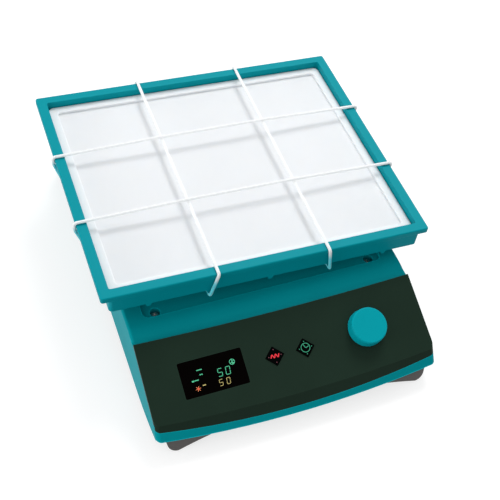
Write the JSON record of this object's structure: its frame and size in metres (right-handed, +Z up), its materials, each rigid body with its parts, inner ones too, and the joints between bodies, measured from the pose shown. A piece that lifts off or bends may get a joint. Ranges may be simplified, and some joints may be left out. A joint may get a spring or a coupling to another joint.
{
  "type": "rocking shaker",
  "caption": "Bench rocking shaker: a shallow tray with elastic cords that rocks on a low base, with a sloping console that has a display, diamond keys and a knob.",
  "frame": {"origin": "on the table under the middle of the whole machine", "axes": "X to the right, Y to the back, Z up; the console faces -Y"},
  "size_m": [0.273, 0.3206, 0.0969],
  "materials": {
    "teal_housing": "moulded, satin gloss",
    "teal_tray": "moulded, satin gloss",
    "teal_knob": "moulded, satin",
    "console_dark": "fine texture",
    "pan_grey": "fine texture",
    "mat_white": "soft, matt",
    "cord_elastic": "smooth",
    "foot_rubber": "matt",
    "belt_rubber": "matt",
    "screw_steel": "zinc plated",
    "zinc_steel": "zinc plated sheet",
    "bearing_steel": "ground",
    "spring_steel": "blued",
    "cast_alloy": "machined",
    "motor_black": "enamelled",
    "bush_bronze": "sintered",
    "display_glass": "glossy dark window",
    "board_green": "solder mask",
    "supply_board": "solder mask with parts",
    "module_black": "moulded",
    "key_black": "smooth",
    "inlet_black": "moulded",
    "rocker_black": "smooth"
  },
  "bodies": {
    "base": {"housing": "teal_housing", "console_cover": "console_dark", "base_pan": "pan_grey", "rubber_feet": "foot_rubber", "feet_screws": "screw_steel", "deck_screws": "screw_steel", "chassis_plate": "zinc_steel", "chassis_screws": "screw_steel", "bearing_block_front": "cast_alloy", "bearing_block_rear": "cast_alloy", "shaft_bearings": "bearing_steel", "crank_block": "cast_alloy", "crank_bearings": "bearing_steel", "frame_screws": "screw_steel", "motor": "motor_black", "motor_bracket": "zinc_steel", "motor_screws": "screw_steel", "drive_belt": "belt_rubber", "display_window": "display_glass", "control_board": "board_green", "display_module": "module_black", "key_switches": "module_black", "encoder_body": "module_black", "board_screws": "screw_steel", "power_inlet": "inlet_black", "switch_frame": "inlet_black", "power_supply": "supply_board", "supply_screws": "screw_steel"},
    "rocker": {"rocker_shaft": "bearing_steel", "shaft_clips": "spring_steel", "carrier_arm_front": "cast_alloy", "carrier_arm_rear": "cast_alloy", "carrier_plate": "zinc_steel", "carrier_screws": "screw_steel", "tray_screws": "screw_steel", "rocker_lever": "cast_alloy", "lever_pin": "bearing_steel", "tray": "teal_tray", "tray_mat": "mat_white", "hold_down_cord_left": "cord_elastic", "hold_down_cord_right": "cord_elastic", "hold_down_cord_rear": "cord_elastic", "hold_down_cord_front": "cord_elastic", "cord_knots": "cord_elastic"},
    "rod": {"connecting_rod": "cast_alloy", "rod_bushes": "bush_bronze", "crank_pin": "bearing_steel"},
    "crank": {"crank_shaft": "bearing_steel", "crank_disc": "cast_alloy", "crank_pulley": "cast_alloy"},
    "rotor": {"motor_shaft": "bearing_steel", "motor_pulley": "cast_alloy"},
    "setting_knob": {"knob": "teal_knob", "encoder_shaft": "bearing_steel"},
    "start_key": {"key_start": "key_black"},
    "timer_key": {"key_timer": "key_black"},
    "mains_rocker": {"power_rocker": "rocker_black"}
  },
  "joints": [
    {"name": "tray_rock", "type": "hinge", "parent": "base", "child": "rocker", "pos_m": [-0.00191, 0.03944, 0.038], "axis": [0, 1, 0], "range_deg": [-9.3, 4.7]},
    {"name": "crank_spin", "type": "hinge", "parent": "base", "child": "crank", "pos_m": [0.02609, 0.03944, 0.022], "axis": [0, 1, 0], "continuous": true},
    {"name": "motor_spin", "type": "hinge", "parent": "base", "child": "rotor", "pos_m": [0.07609, 0.03944, 0.031], "axis": [0, 1, 0], "continuous": true},
    {"name": "rod_swing", "type": "hinge", "parent": "rocker", "child": "rod", "pos_m": [0.02607, 0.03944, 0.03688], "axis": [0, 1, 0], "range_deg": [-4.7, 9.3]},
    {"name": "knob_turn", "type": "hinge", "parent": "base", "child": "setting_knob", "pos_m": [0.06309, -0.12211, 0.04677], "axis": [0, -0.3867, 0.9222], "continuous": true},
    {"name": "start_press", "type": "slide", "parent": "base", "child": "start_key", "axis": [0, 0.3867, -0.9222], "range_m": [0, 0.0006], "stiffness_N_per_m": 600, "springref_m": -0.0006},
    {"name": "timer_press", "type": "slide", "parent": "base", "child": "timer_key", "axis": [0, 0.3867, -0.9222], "range_m": [0, 0.0006], "stiffness_N_per_m": 600, "springref_m": -0.0006},
    {"name": "mains_switch", "type": "hinge", "parent": "base", "child": "mains_rocker", "pos_m": [-0.03191, 0.15544, 0.036], "axis": [-1, 0, 0], "range_deg": [0, 24]}
  ],
  "couplings": [
    {"joint": "motor_spin", "follows": "crank_spin", "ratio": 1.5833},
    {"joint": "rod_swing", "follows": "tray_rock", "ratio": -1}
  ]
}
